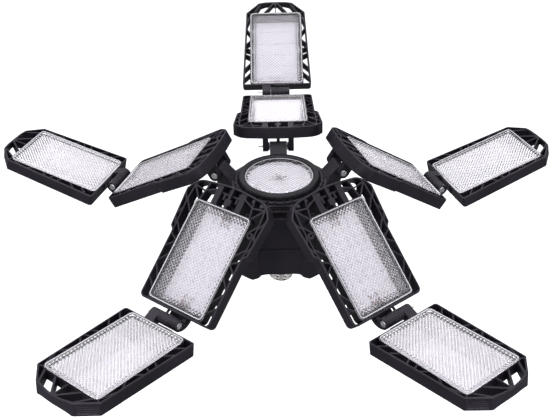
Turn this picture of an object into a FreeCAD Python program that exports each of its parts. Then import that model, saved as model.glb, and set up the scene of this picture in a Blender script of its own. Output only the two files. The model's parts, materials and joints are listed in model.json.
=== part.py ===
import FreeCAD, Part
import os
from math import sin, cos, tan, pi, radians, degrees, sqrt, atan2

os.makedirs("parts", exist_ok=True)
V = FreeCAD.Vector

# ---------------------------------------------------------------------------
# Deformable garage light, millimetres.
# +Z runs from the screw base up to the round centre lens. The origin is on
# the lamp cap's axis, in the middle of its plain collar.
# ---------------------------------------------------------------------------

# --- overall layout -----------------------------------------------------------
Z_LENS = 104.8           # height of the centre lens face above the origin
HUB_R = 62.84            # hub hinge axes: distance from the centre line
HUB_Z = -1.96            # hub hinge axes: height from the centre lens face
# arm name: azimuth, inner panel's fall, outer panel's rise, mirrored hinge
ARMS = [("back", 90.0, 9.8, 35.9, False),
        ("left", 162.0, 27.6, 15.1, True),
        ("front_left", 234.0, 39.9, 9.4, True),
        ("front_right", 306.0, 42.2, 9.2, False),
        ("right", 18.0, 33.3, 16.0, False)]

# --- lens panels, local u outward, v along the hinge, w out of the lens ---------
LENS_L = 100.5           # lens length
LENS_HW = 31.96          # lens half width
LENS_R = 4.5             # lens corner radius
LENS_TOP = 0.5           # lens face above the frame's rim
FLANGE = 2.2             # lens flange thickness
DEPTH = 12.3             # frame depth
WALL = 1.6               # frame outer wall
RIB = 1.4                # truss ribs
FLOOR_T = -8.6           # tray floor, top
FLOOR_B = -10.4          # tray floor, underside
HINGE_IN_U = -10.91      # hub hinge axis in an inner panel
HINGE_IN_W = -24.11
HINGE_OUT_U = 111.93     # outer hinge axis in an inner panel
HINGE_OUT_W = 0.87
KNUCKLE_U = -11.19       # outer hinge axis in an outer panel
KNUCKLE_W = -0.47
BARREL_R = 5.6           # hinge barrel
BARREL = (-14.8, 17.7)   # barrel, first to last face, along v
SPLIT = 7.65             # where the outer knuckle begins
GAP = 0.3                # play between moving faces
EAR_IN, EAR_OUT = 10.7, 16.5
LUG_HW = 9.0
LUG_R = 5.2
PIN_R = 1.75             # hinge screw shank
HOLE_R = 1.80            # hinge holes: running fit on the shank
HEAD_R, HEAD_H = 3.6, 1.9
TIP_R, TIP_L = 0.95, 5.4
NUT_RECESS = 3.8         # round recess the nut turns in

# --- centre housing --------------------------------------------------------------
FLANK_R = 46.5           # flat flanks between the lugs
FLANK_HW = 19.5
LOBE_R = 57.4            # lug bosses
LOBE_HW = 9.0
SEAM_Z = -57.0           # joint between housing and rear cover
BASE_Z = -91.6           # lowest edge of the rear cover, at the lobes
ARCH_Z = -87.6           # raised edge between the lobes
SHELL = 2.4
DECK_T, DECK_B = -9.6, -12.6
HLENS_R = 35.7
CAP_R = 13.1             # lamp cap collar and thread crest (medium Edison screw)
THREAD_P = 3.63


# --- helpers ---------------------------------------------------------------------
def poly(pts, w0, w1):
    """Prism on a polygon in the uv plane, from w0 to w1."""
    p = [V(x, y, w0) for x, y in pts]
    return Part.Face(Part.makePolygon(p + [p[0]])).extrude(V(0, 0, w1 - w0))


def slab(u0, u1, v0, v1, w0, w1, r=0.0):
    b = Part.makeBox(u1 - u0, v1 - v0, w1 - w0, V(u0, v0, w0))
    if r > 0:
        es = [e for e in b.Edges if abs(e.Vertexes[0].Z - e.Vertexes[-1].Z) > 1e-6]
        b = b.makeFillet(r, es)
    return b


def cyl(r, h, base, axis):
    return Part.makeCylinder(r, h, base, axis)


def ycyl(r, u, w, v0, v1):
    return Part.makeCylinder(r, v1 - v0, V(u, v0, w), V(0, 1, 0))


def side(pts, v0, v1):
    """Plate on a polygon in the uw plane, from v0 to v1."""
    p = [V(x, v0, z) for x, z in pts]
    return Part.Face(Part.makePolygon(p + [p[0]])).extrude(V(0, v1 - v0, 0))


def rib(p, q, w0, w1, t=RIB):
    """Upright strip from p to q in plan."""
    dx, dy = q[0] - p[0], q[1] - p[1]
    n = sqrt(dx * dx + dy * dy)
    ex, ey = dx / n * 0.4, dy / n * 0.4
    nx, ny = -dy / n * t / 2, dx / n * t / 2
    return poly([(p[0] - ex + nx, p[1] - ey + ny), (p[0] - ex - nx, p[1] - ey - ny),
                 (q[0] + ex - nx, q[1] + ey - ny), (q[0] + ex + nx, q[1] + ey + ny)], w0, w1)


def rev(pts):
    """Solid of revolution about Z from a closed (r, z) outline."""
    p = [V(x, 0, z) for x, z in pts]
    s = Part.Face(Part.makePolygon(p + [p[0]])).revolve(V(0, 0, 0), V(0, 0, 1), 360)
    return s


def fuse(lst):
    return lst[0].multiFuse(lst[1:]) if len(lst) > 1 else lst[0]


def one(s):
    """Cleaned single solid."""
    s = s.removeSplitter()
    sol = sorted(s.Solids, key=lambda x: -x.Volume)
    big = [x for x in sol if x.Volume > 0.5]
    return big[0] if len(big) == 1 else Part.makeCompound(big)


def mirror_v(s):
    return s.mirror(V(0, 0, 0), V(0, 1, 0))


# --- lens, board -----------------------------------------------------------------
def make_lens():
    flange = slab(0, LENS_L, -LENS_HW, LENS_HW, LENS_TOP - FLANGE, LENS_TOP, LENS_R)
    top = [e for e in flange.Edges if all(abs(v.Z - LENS_TOP) < 1e-6 for v in e.Vertexes)]
    flange = flange.makeChamfer(0.45, top)
    skirt = slab(3.2, LENS_L - 3.2, -LENS_HW + 3.2, LENS_HW - 3.2, LENS_TOP - FLANGE - 2.6,
                 LENS_TOP - FLANGE + 0.1, 3.0)
    void = slab(4.7, LENS_L - 4.7, -LENS_HW + 4.7, LENS_HW - 4.7, LENS_TOP - FLANGE - 3.6,
                LENS_TOP - FLANGE + 0.3, 2.0)
    return one(flange.fuse(skirt).cut(void))


LED_U = [17.0, 34.5, 50.25, 66.0, 83.5]
LED_V = [-22.5, -13.5, -4.5, 4.5, 13.5, 22.5]


def make_board():
    b = slab(4.0, LENS_L - 4.0, -27.6, 27.6, FLOOR_T, FLOOR_T + 1.5, 2.0)
    holes = [cyl(1.3, 4, V(u, v, FLOOR_T - 1), V(0, 0, 1)) for u in (7.5, 93.0) for v in (-24.0, 24.0)]
    b = b.cut(Part.makeCompound(holes))
    chips = [slab(u - 1.75, u + 1.75, v - 1.4, v + 1.4, FLOOR_T + 1.5, FLOOR_T + 2.2)
             for u in LED_U for v in LED_V]
    return one(fuse([b] + chips))


# --- frames ----------------------------------------------------------------------
def rounded(points):
    """Face on a closed outline of (x, y, corner radius)."""
    n = len(points)
    runs = []
    for i in range(n):
        p, q, t = (V(k[0], k[1], 0) for k in (points[i - 1], points[i], points[(i + 1) % n]))
        r = points[i][2]
        if r <= 0:
            runs.append((q, None, q))
            continue
        a, b = p - q, t - q
        a.normalize()
        b.normalize()
        half = a.getAngle(b) / 2
        m = a + b
        m.normalize()
        runs.append((q + a * (r / tan(half)), q + m * (r / sin(half) - r), q + b * (r / tan(half))))
    edges = []
    for i in range(n):
        a, m, b = runs[i]
        if m is not None:
            edges.append(Part.Arc(a, m, b).toShape())
        edges.append(Part.makeLine(b, runs[(i + 1) % n][0]))
    return Part.Face(Part.Wire(edges))


OUTER_PTS = [(-1.5, -41.5, 3.2), (100.8, -36.5, 1.4), (115.0, -20.8, 2.6), (118.6, 0.0, 90.0), (115.0, 20.8, 2.6),
             (100.8, 36.5, 1.4), (-1.5, 41.5, 3.2)]
INNER_PTS = [(103.4, -40.8, 5.0), (103.4, 40.8, 5.0), (36.4, 41.2, 1.5), (32.6, 45.0, 1.5), (-5.6, 47.5, 3.0),
             (-17.8, 39.2, 17.0), (-22.4, 0.0, 150.0), (-17.8, -39.2, 17.0), (-5.6, -47.5, 3.0), (32.6, -45.0, 1.5),
             (36.4, -41.2, 1.5)]
RIM = 0.5                # chamfer round the rim


def prism(face, w0, w1, grow=0.0):
    f = face
    if grow:
        f = face.makeOffset2D(grow, 0, False, False, True)
    f = f.copy()
    f.translate(V(0, 0, w0))
    return f.extrude(V(0, 0, w1 - w0))


def shell_ring(face):
    """Open-topped wall round an outline, chamfered along its rim."""
    body = prism(face, -DEPTH, 0)
    top = [e for e in body.Edges if all(abs(v.Z) < 1e-6 for v in e.Vertexes)]
    body = body.makeChamfer(RIM, top)
    return body.cut(prism(face, -DEPTH - 1, 1, -WALL))


def tray_block(end=0.3):
    return slab(-0.3, LENS_L + end, -LENS_HW - 0.3, LENS_HW + 0.3, FLOOR_B, -0.4, LENS_R + 0.3)


def tray_cut():
    seat = slab(-0.05, LENS_L + 0.05, -LENS_HW - 0.05, LENS_HW + 0.05, LENS_TOP - FLANGE, 5.0, LENS_R)
    void = slab(2.1, LENS_L - 2.1, -LENS_HW + 2.1, LENS_HW - 2.1, FLOOR_T, 2.0, 2.6)
    return seat.fuse(void)


def fins():
    return [slab(4.0, LENS_L - 4.0, v - 0.8, v + 0.8, -DEPTH + 0.4, FLOOR_B + 0.2)
            for v in (-28, -21, -14, -7, 0, 7, 14, 21, 28)]


def side_v(pts, u):
    """Half width of an outline at u."""
    half = sorted([p[:2] for p in pts if p[1] > 0])
    for a, b in zip(half, half[1:]):
        if a[0] <= u <= b[0] and b[0] > a[0]:
            return a[1] + (b[1] - a[1]) * (u - a[0]) / (b[0] - a[0])
    return half[-1][1]


W0, W1 = -DEPTH + 0.6, -0.5     # ribs, bottom and top


def frame_outer():
    face = rounded(OUTER_PTS)
    parts = [shell_ring(face), tray_block()] + fins()
    ribs = []
    # slanted ribs along both sides, from the wall to the tray
    for uw, ut in ((7.0, 15.0), (20.4, 28.6), (42.5, 38.6), (50.8, 48.2), (54.4, 60.6), (79.5, 71.5), (81.5, 96.5)):
        for s in (1, -1):
            ribs.append(rib((uw, s * (side_v(OUTER_PTS, uw) - 0.6)), (ut, s * 32.0), W0, W1))
    # ribs fanning out from a small boss at the middle of the nose
    for v in (-14.8, 0.0, 14.8):
        ribs.append(rib((116.6, v * 0.08), (100.6, v), W0, W1 - 0.9, 1.7 if v else 1.2))
    ribs.append(cyl(2.4, W1 - 0.9 + 11.0, V(115.6, 0, -11.0), V(0, 0, 1)))
    for s in (1, -1):
        ribs.append(rib((115.8, s * 17.6), (100.6, s * 27.2), W0, W1 - 0.3, 1.7))
        ribs.append(rib((101.6, s * 34.6), (98.8, s * 31.0), W0, W1, 1.3))
    fan = fuse(ribs).common(prism(face, -DEPTH, 0, -0.2))
    parts.append(fan)
    # knuckle and its root on the hinge-end wall
    v0, v1 = SPLIT + GAP / 2, BARREL[1]
    parts.append(ycyl(BARREL_R, KNUCKLE_U, KNUCKLE_W, v0, v1))
    parts.append(side([(-0.2, -8.6), (KNUCKLE_U + 1.5, KNUCKLE_W - BARREL_R + 0.1), (KNUCKLE_U, KNUCKLE_W),
                       (KNUCKLE_U + 2.4, KNUCKLE_W + 5.0), (-3.2, 1.4), (-0.2, 0.0)], v0, v1))
    parts.append(side([(-0.2, -10.5), (-3.0, -9.0), (-3.0, -1.2), (-1.6, 0.0), (-0.2, 0.0)], -13.8, 1.2))
    parts.append(side([(-0.2, -12.0), (-2.4, -10.8), (-2.4, -1.6), (-1.4, -0.4), (-0.2, -0.4)], 1.0, v0 + 1.0))
    b = fuse(parts)
    b = b.cut(tray_cut())
    # recessed pocket with level ridges on each shoulder face
    cuts = []
    for s in (1, -1):
        ax, ay, bx, by = 100.8, s * 36.5, 115.0, s * 20.8
        d = V(bx - ax, by - ay, 0)
        d.normalize()
        nrm = V(d.y, -d.x, 0)
        nrm = nrm * (1 if nrm.dot(V(1, s, 0)) > 0 else -1)
        c = V((ax + bx) / 2, (ay + by) / 2, 0)
        half = 8.3
        for w0, w1, deep in ((-DEPTH + 1.6, -1.9, 0.55), (-DEPTH + 2.2, -9.0, 1.0), (-8.3, -6.9, 1.0), (-6.2, -4.8, 1.0),
                             (-4.1, -2.5, 1.0)):
            h = half if deep < 0.8 else half - 0.6
            q = [c + d * h + nrm * 0.5, c - d * h + nrm * 0.5, c - d * h - nrm * deep, c + d * h - nrm * deep]
            cuts.append(poly([(k.x, k.y) for k in q], w0, w1))
    # the nose is arched from below and dips a little at its middle
    under = [(-19.5, -DEPTH - 0.6), (-17.5, -11.7), (-14.5, -10.9), (-11.0, -10.3), (-6.0, -9.9),
             (6.0, -9.9), (11.0, -10.3), (14.5, -10.9), (17.5, -11.7), (19.5, -DEPTH - 0.6)]
    p = [V(104.4, y, z) for y, z in under]
    cuts.append(Part.Face(Part.makePolygon(p + [p[0]])).extrude(V(20, 0, 0)))
    dip = 1.5
    hw = 16.0
    rr = (hw * hw + dip * dip) / (2 * dip)
    cuts.append(cyl(rr, 20, V(108.5, 0, rr - dip), V(1, 0, 0)))
    cuts.append(ycyl(HOLE_R, KNUCKLE_U, KNUCKLE_W, BARREL[0] - 8, BARREL[1] + 8))
    # round nut recess in the knuckle's outer face
    cuts.append(ycyl(NUT_RECESS, KNUCKLE_U, KNUCKLE_W, BARREL[1] - 2.75, BARREL[1] + 1))
    # running room round the inner panel's barrel
    cuts.append(ycyl(BARREL_R + 0.5, KNUCKLE_U, KNUCKLE_W, BARREL[0] - 1.0, v0))
    return one(b.cut(Part.makeCompound(cuts)))


def hexagon(af, u, w, v0, v1):
    """Hexagonal prism along v, half the width across flats given."""
    r = af / cos(pi / 6)
    return side([(u + r * cos(radians(60 * k)), w + r * sin(radians(60 * k))) for k in range(6)], v0, v1)


def frame_inner():
    face = rounded(INNER_PTS)
    parts = [shell_ring(face), tray_block(2.2)] + fins()
    ribs = []
    for s in (1, -1):
        # the narrow side line carried on inside the wide part, to a joint near the hub end's corner
        ribs.append(rib((36.6, s * 40.3), (5.8, s * 41.6), W0, W1))
        ribs.append(rib((6.4, s * 41.6), (-11.2, s * 40.3), W0, W1))
        # ribs between the tray and the side line
        for uw, ut in ((84.0, 91.5), (70.5, 81.5), (66.8, 57.5), (51.8, 45.0), (39.3, 44.2), (26.5, 36.5), (4.5, 15.5)):
            vw = 39.9 if uw > 36 else 41.0
            ribs.append(rib((uw, s * vw), (ut, s * 32.0), W0, W1, 1.4))
        # ribs between the side line and the wide part's wall
        for uo, ui in ((-1.0, 6.5), (20.5, 12.5), (22.5, 30.0)):
            ribs.append(rib((uo, s * (side_v(INNER_PTS, uo) - 0.8)), (ui, s * 41.3), W0, W1, 1.3))
        # hub-end ribs: across to the tray's corner, and braces to both sides of it
        ribs.append(rib((-20.8, s * 24.9), (-0.2, s * 28.9), W0, W1, 1.5))
        ribs.append(rib((-14.4, s * 15.9), (-9.8, s * 26.6), W0, W1, 1.3))
        ribs.append(rib((-9.2, s * 27.0), (-11.2, s * 40.3), W0, W1, 1.4))
        ribs.append(rib((-11.4, s * 40.4), (-0.4, s * 31.0), W0, W1, 1.4))
        ribs.append(rib((-16.0, s * 38.6), (-10.8, s * 40.0), W0, W1, 1.4))
        # block above each ear
        ribs.append(slab(-21.6, -0.1, min(s * EAR_IN, s * EAR_OUT), max(s * EAR_IN, s * EAR_OUT), -DEPTH, -0.9))
        ribs.append(slab(-14.2, -7.6, min(s * 6.0, s * 8.2), max(s * 6.0, s * 8.2), -DEPTH, -3.4))
    ribs.append(slab(-22.3, -0.1, -1.3, 1.3, -DEPTH, -0.7))
    ribs.append(slab(-9.2, -3.4, -3.3, 3.3, -DEPTH, -1.3, 0.8))
    ribs.append(slab(-14.2, -12.6, -EAR_IN - 1, EAR_IN + 1, -DEPTH, -3.4))
    # round post beside the tray
    ribs.append(cyl(3.2, -1.4 + DEPTH, V(14.4, -36.6, -DEPTH), V(0, 0, 1)).cut(cyl(1.3, 4.0, V(14.4, -36.6, -4.4), V(0, 0, 1))))
    fan = fuse(ribs).common(prism(face, -DEPTH, 0, -0.2))
    parts.append(fan)
    # hinge ears below the hub end
    for s in (1, -1):
        v0, v1 = (EAR_IN, EAR_OUT) if s > 0 else (-EAR_OUT, -EAR_IN)
        parts.append(ycyl(BARREL_R, HINGE_IN_U, HINGE_IN_W, v0, v1))
        parts.append(slab(HINGE_IN_U - BARREL_R, HINGE_IN_U + BARREL_R, v0, v1, HINGE_IN_W, -DEPTH + 1.0))
        d0, d1 = (LUG_HW + GAP, EAR_IN + 0.5) if s > 0 else (-EAR_IN - 0.5, -LUG_HW - GAP)
        parts.append(ycyl(4.3, HINGE_IN_U, HINGE_IN_W, d0, d1))
        # gusset from the ear out to the side
        parts.append(side([(HINGE_IN_U - 1.0, -DEPTH + 0.5), (HINGE_IN_U + 1.0, -DEPTH + 0.5),
                           (HINGE_IN_U + 1.0, HINGE_IN_W + 1.0), (HINGE_IN_U - 1.0, HINGE_IN_W + 1.0)],
                          v0 if s > 0 else v0, v1))
    # stop rib that runs down to the lug
    parts.append(side([(HINGE_IN_U - 3.2, -DEPTH + 0.4), (HINGE_IN_U + 3.2, -DEPTH + 0.4),
                       (HINGE_IN_U + 1.6, HINGE_IN_W + LUG_R + 0.7), (HINGE_IN_U - 1.6, HINGE_IN_W + LUG_R + 0.7)],
                      -1.7, 1.7))
    # outer hinge barrel: plain end section, ridged middle section
    v0, v1 = BARREL[0], SPLIT - GAP / 2
    parts.append(ycyl(BARREL_R, HINGE_OUT_U, HINGE_OUT_W, v0, -4.2))
    parts.append(ycyl(BARREL_R - 0.55, HINGE_OUT_U, HINGE_OUT_W, -4.4, v1))
    parts.append(ycyl(BARREL_R, HINGE_OUT_U, HINGE_OUT_W, v1 - 1.2, v1))
    teeth = []
    for k in range(14):
        a = 2 * pi * k / 14
        t = slab(BARREL_R - 1.0, BARREL_R - 0.05, -4.3, v1 - 0.6, -0.55, 0.55)
        t.rotate(V(0, 0, 0), V(0, 1, 0), degrees(a))
        t.translate(V(HINGE_OUT_U, 0, HINGE_OUT_W))
        teeth.append(t)
    parts += teeth
    # curved bracket from under the end wall up to the barrel
    arc_o, arc_i = [], []
    cu, cw, ro, ri = 103.6, 1.4, 13.6, 11.0
    for k in range(9):
        a = radians(-84 + 84 * k / 8.0)
        arc_o.append((cu + ro * cos(a), cw + ro * sin(a)))
        arc_i.append((cu + ri * cos(a), cw + ri * sin(a)))
    plate = [(100.2, -12.2)] + arc_o + arc_i[::-1] + [(100.2, -9.6)]
    parts.append(side(plate, v0, v1))
    # side cheeks of the bracket
    cheek = [(100.2, -12.2)] + arc_o[:6] + [(HINGE_OUT_U + 5.0, HINGE_OUT_W - 1.5),
             (HINGE_OUT_U - 4.6, HINGE_OUT_W - 3.1), (100.2, -4.4)]
    hole = ycyl(3.1, 105.6, -6.6, v0 - 1, v1 + 1)
    for a, b in ((v0, v0 + 2.6), (v1 - 2.6, v1)):
        parts.append(side(cheek, a, b).cut(hole))
    b = fuse(parts)
    b = b.cut(tray_cut())
    cuts = [ycyl(HOLE_R, HINGE_OUT_U, HINGE_OUT_W, BARREL[0] - 8, BARREL[1] + 8),
            ycyl(HOLE_R, HINGE_IN_U, HINGE_IN_W, -EAR_OUT - 5, EAR_OUT + 5),
            # screw head recesses
            ycyl(HEAD_R + 0.35, HINGE_OUT_U, HINGE_OUT_W, BARREL[0] - 1, BARREL[0] + HEAD_H),
            ycyl(HEAD_R + 0.35, HINGE_IN_U, HINGE_IN_W, -EAR_OUT - 1, -EAR_OUT + HEAD_H + 0.2),
            ycyl(NUT_RECESS, HINGE_IN_U, HINGE_IN_W, EAR_OUT - 2.75, EAR_OUT + 1),
            # hole through the curved bracket
            slab(101.8, 118.5, -7.0, 1.4, -11.6, -6.2),
            # room for the outer panel's knuckle
            ycyl(BARREL_R + 0.5, HINGE_OUT_U, HINGE_OUT_W, SPLIT - GAP / 2, BARREL[1] + 1)]
    return one(b.cut(Part.makeCompound(cuts)))


# --- hinge screw and nut -----------------------------------------------------------
def screw(u, w, v_head, v_end, tip):
    """Cross-head screw along +v: the head's outer face is at v_head."""
    s = ycyl(HEAD_R, u, w, v_head, v_head + HEAD_H - 0.15)
    e = [e for e in s.Edges if all(abs(q.Y - v_head) < 1e-6 for q in e.Vertexes)]
    s = s.makeFillet(0.9, e)
    s = s.fuse(ycyl(PIN_R, u, w, v_head + 0.5, v_end))
    s = s.fuse(ycyl(TIP_R, u, w, v_end - 0.5, v_end + tip))
    for a in (0, 90):
        t = slab(-1.9, 1.9, v_head - 0.2, v_head + 1.1, -0.32, 0.32)
        t.rotate(V(0, 0, 0), V(0, 1, 0), a)
        t.translate(V(u, 0, w))
        s = s.cut(t)
    return one(s)


def nut(u, w, v0, v1):
    n = hexagon(2.95, u, w, v0, v1)
    return one(n.cut(ycyl(PIN_R + 0.03, u, w, v0 - 1, v1 + 1)))


# --- placing -----------------------------------------------------------------------
def basis(az, fall):
    a, s = radians(az), radians(fall)
    r, t, z = V(cos(a), sin(a), 0), V(-sin(a), cos(a), 0), V(0, 0, 1)
    return r * cos(s) - z * sin(s), t, r * sin(s) + z * cos(s)


def placed(shape, o, b):
    m = FreeCAD.Matrix(b[0].x, b[1].x, b[2].x, o.x, b[0].y, b[1].y, b[2].y, o.y,
                       b[0].z, b[1].z, b[2].z, o.z, 0, 0, 0, 1)
    s = shape.copy()
    s.Placement = FreeCAD.Placement(m).multiply(s.Placement)
    return s


def save(name, shape):
    s = shape.copy()
    s.translate(V(0, 0, Z_LENS))
    ok = s.isValid()
    s.exportStep("parts/%s.step" % name)
    print("%-28s solids %2d  volume %9.1f  valid %s" % (name, len(s.Solids), s.Volume, ok))


# --- panels ------------------------------------------------------------------------
lens, board = make_lens(), make_board()
f_in, f_out = frame_inner(), frame_outer()
f_in_m, f_out_m = mirror_v(f_in), mirror_v(f_out)
bolt_out = screw(HINGE_OUT_U, HINGE_OUT_W, BARREL[0] + 0.1, BARREL[1] - 0.3, TIP_L)
nut_out = nut(HINGE_OUT_U, HINGE_OUT_W, BARREL[1] - 2.6, BARREL[1] - 0.4)
bolt_hub = screw(HINGE_IN_U, HINGE_IN_W, -EAR_OUT + 0.1, EAR_OUT - 0.3, TIP_L)
nut_hub = nut(HINGE_IN_U, HINGE_IN_W, EAR_OUT - 2.6, EAR_OUT - 0.4)

hub_bolts, hub_nuts = [], []
for name, az, fall, rise, mir in ARMS:
    r = V(cos(radians(az)), sin(radians(az)), 0)
    h1 = r * HUB_R + V(0, 0, HUB_Z)
    b1 = basis(az, fall)
    o1 = h1 - b1[0] * HINGE_IN_U - b1[2] * HINGE_IN_W
    h2 = o1 + b1[0] * HINGE_OUT_U + b1[2] * HINGE_OUT_W
    b2 = basis(az, -rise)
    o2 = h2 - b2[0] * KNUCKLE_U - b2[2] * KNUCKLE_W
    mv = mirror_v if mir else (lambda s: s)
    save("inner_frame_" + name, placed(f_in_m if mir else f_in, o1, b1))
    save("inner_lens_" + name, placed(lens, o1, b1))
    save("inner_led_board_" + name, placed(board, o1, b1))
    save("outer_frame_" + name, placed(f_out_m if mir else f_out, o2, b2))
    save("outer_lens_" + name, placed(lens, o2, b2))
    save("outer_led_board_" + name, placed(board, o2, b2))
    save("outer_hinge_screw_" + name, placed(mv(bolt_out), o1, b1))
    save("outer_hinge_nut_" + name, placed(mv(nut_out), o1, b1))
    hub_bolts.append(placed(mv(bolt_hub), o1, b1))
    hub_nuts.append(placed(mv(nut_hub), o1, b1))
    print("axis %-12s hub (%.3f %.3f %.3f) outer (%.3f %.3f %.3f)" % (
        name, h1.x, h1.y, h1.z + Z_LENS, h2.x, h2.y, h2.z + Z_LENS))
save("hub_hinge_screws", Part.makeCompound(hub_bolts))
save("hub_hinge_nuts", Part.makeCompound(hub_nuts))


# --- centre housing ------------------------------------------------------------------
def star(flank, lobe, lobe_hw, flank_hw):
    """Five flat flanks with a blunt boss at each arm."""
    pts = []
    for k in range(5):
        a = radians(18 + 72 * k)
        ca, sa = cos(a), sin(a)
        fa = flank * cos(radians(36)) + flank_hw * sin(radians(36))
        fb = flank * sin(radians(36)) - flank_hw * cos(radians(36))
        for x, y in ((fa, -fb), (lobe - 4.6, -lobe_hw), (lobe, -lobe_hw + 4.6), (lobe, lobe_hw - 4.6),
                     (lobe - 4.6, lobe_hw), (fa, fb)):
            pts.append((x * ca - y * sa, x * sa + y * ca))
    return pts


def arm_side(pts, hw, k):
    """Plate on an (r, z) outline, centred on arm k."""
    s = side(pts, -hw, hw)
    s.rotate(V(0, 0, 0), V(0, 0, 1), 18 + 72 * k)
    return s


outer_star = star(FLANK_R, LOBE_R, LOBE_HW + 1.6, FLANK_HW)
inner_star = star(FLANK_R - SHELL, LOBE_R - SHELL, LOBE_HW - 0.8, FLANK_HW - 1.2)
cone = rev([(0, SEAM_Z), (70, SEAM_Z), (70, -19.4), (42.6, -3.4), (40.8, -3.4), (40.8, -1.6), (0, -1.6)])
body = poly(outer_star, SEAM_Z, 2).common(cone)
for k in range(5):
    # lug that carries the hinge, with a web down the boss
    lug = arm_side([(49, -8), (59.0, 1.55), (HUB_R + LUG_R - 0.1, HUB_Z), (57.0, -27), (49, -27)], LUG_HW, k)
    knob = ycyl(LUG_R, HUB_R, HUB_Z, -LUG_HW, LUG_HW)
    knob.rotate(V(0, 0, 0), V(0, 0, 1), 18 + 72 * k)
    # louvred vent block in the middle of each flank
    vent = slab(FLANK_R - 3, FLANK_R + 2.4, -9.5, 9.5, -23.1, -10.9)
    sill = slab(FLANK_R - 3, FLANK_R + 4.0, -6.2, 6.2, -19.8, -18.4)
    for x in (vent, sill):
        x.rotate(V(0, 0, 0), V(0, 0, 1), 54 + 72 * k)
    body = body.multiFuse([lug, knob, vent, sill])
# drum under the bezel, ringed with blocks, with two bead lines round its foot
for k in range(5):
    # the flank stops short at the drum's foot
    step = slab(41.0, 60.0, -16.5, 16.5, -5.9, 2.0)
    step.rotate(V(0, 0, 0), V(0, 0, 1), 54 + 72 * k)
    body = body.cut(step)
neck = rev([(30, -12), (42.4, -12), (42.4, -4.2), (41.6, -3.4), (40.8, -3.3), (40.8, -2.9), (30, -2.9)])
body = body.fuse(neck)
blocks = []
for k in range(35):
    t = slab(41.4, 44.5, -3.1, 3.1, -7.0, -3.2)
    t = t.makeChamfer(0.8, [e for e in t.Edges if all(abs(v.X - 44.5) < 1e-6 and abs(v.Z + 3.2) < 1e-6 for v in e.Vertexes)])
    t.rotate(V(0, 0, 0), V(0, 0, 1), 54 + 72 / 7.0 * k)
    blocks.append(t)
body = body.multiFuse(blocks)
cuts = [poly(inner_star, SEAM_Z - 1, DECK_B),
        rev([(0, DECK_T), (33.6, DECK_T), (33.6, -1.9), (36.0, -1.9), (36.0, 5), (0, 5)])]
for k in range(5):
    hole = ycyl(HOLE_R, HUB_R, HUB_Z, -LUG_HW - 1, LUG_HW + 1)
    hole.rotate(V(0, 0, 0), V(0, 0, 1), 18 + 72 * k)
    cuts.append(hole)
    # louvre slots and their frame
    for j in range(7):
        s = slab(FLANK_R - 4, FLANK_R + 3, -6.0 + 1.85 * j, -6.0 + 1.85 * j + 0.95, -18.4, -12.1)
        s.rotate(V(0, 0, 0), V(0, 0, 1), 54 + 72 * k)
        cuts.append(s)
    pocket = slab(FLANK_R + 1.4, FLANK_R + 3, -6.4, 6.4, -18.4, -11.6)
    pocket.rotate(V(0, 0, 0), V(0, 0, 1), 54 + 72 * k)
    cuts.append(pocket)
    # pairs of small square openings along the top of each flank
    for j in range(9):
        for z in (-9.8, -7.7):
            g = slab(FLANK_R - 1.0, FLANK_R + 0.3, -10.4 + 2.4 * j, -10.4 + 2.4 * j + 1.6, z - 0.6, z + 0.6)
            g.rotate(V(0, 0, 0), V(0, 0, 1), 54 + 72 * k)
            cuts.append(g)
body = body.cut(Part.makeCompound(cuts[:1])).cut(cuts[1])
body = body.cut(Part.makeCompound(cuts[2:]))
BOSS_R = 46.0
posts = []
for k in range(5):
    a = radians(18 + 72 * k)
    posts.append(cyl(4.0, DECK_B - SEAM_Z, V(BOSS_R * cos(a), BOSS_R * sin(a), SEAM_Z), V(0, 0, 1)))
body = body.multiFuse(posts)
screw_holes, screws = [], []
for k in range(5):
    a = radians(18 + 72 * k)
    c = V(BOSS_R * cos(a), BOSS_R * sin(a), 0)
    screw_holes.append(cyl(1.45, 16.0, c + V(0, 0, SEAM_Z - 0.5), V(0, 0, 1)))
    s = cyl(2.8, 1.8, c + V(0, 0, -66.0), V(0, 0, 1)).fuse(cyl(1.35, 22.0, c + V(0, 0, -65.0), V(0, 0, 1)))
    x = Part.makeBox(3.4, 0.6, 1.0, V(-1.7, -0.3, -0.2)).fuse(Part.makeBox(0.6, 3.4, 1.0, V(-0.3, -1.7, -0.2)))
    x.translate(c + V(0, 0, -66.0))
    screws.append(one(s.cut(x)))
lead_slot = cyl(3.0, 8, V(0, 0, DECK_B - 2), V(0, 0, 1))
body = body.cut(Part.makeCompound(screw_holes)).cut(lead_slot)
save("hub_housing", one(body))
save("housing_screws", Part.makeCompound(screws))

# --- rear cover: scalloped skirt, recessed floor, neck for the lamp cap ---------------
co = star(FLANK_R + 0.9, LOBE_R + 0.9, LOBE_HW + 2.4, FLANK_HW + 0.3)
ci = star(FLANK_R - 1.5, LOBE_R - 1.5, LOBE_HW + 0.2, FLANK_HW - 0.9)
lip_o = star(FLANK_R - SHELL - 0.3, LOBE_R - SHELL - 0.3, LOBE_HW - 1.1, FLANK_HW - 1.4)
lip_i = star(FLANK_R - SHELL - 1.8, LOBE_R - SHELL - 1.8, LOBE_HW - 2.3, FLANK_HW - 2.2)
TOP = SEAM_Z - 0.4
cover = poly(co, BASE_Z, TOP)
cover = cover.cut(poly(ci, BASE_Z - 1, -84.0)).cut(poly(ci, -81.6, TOP + 1))
lip = poly(lip_o, TOP - 4.0, SEAM_Z + 4.0).cut(poly(lip_i, TOP - 5, SEAM_Z + 5))
band = poly(co, TOP - 3.0, TOP).cut(poly(lip_i, TOP - 4, TOP + 1))
cover = cover.multiFuse([lip, band])
cposts, choles = [], []
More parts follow.
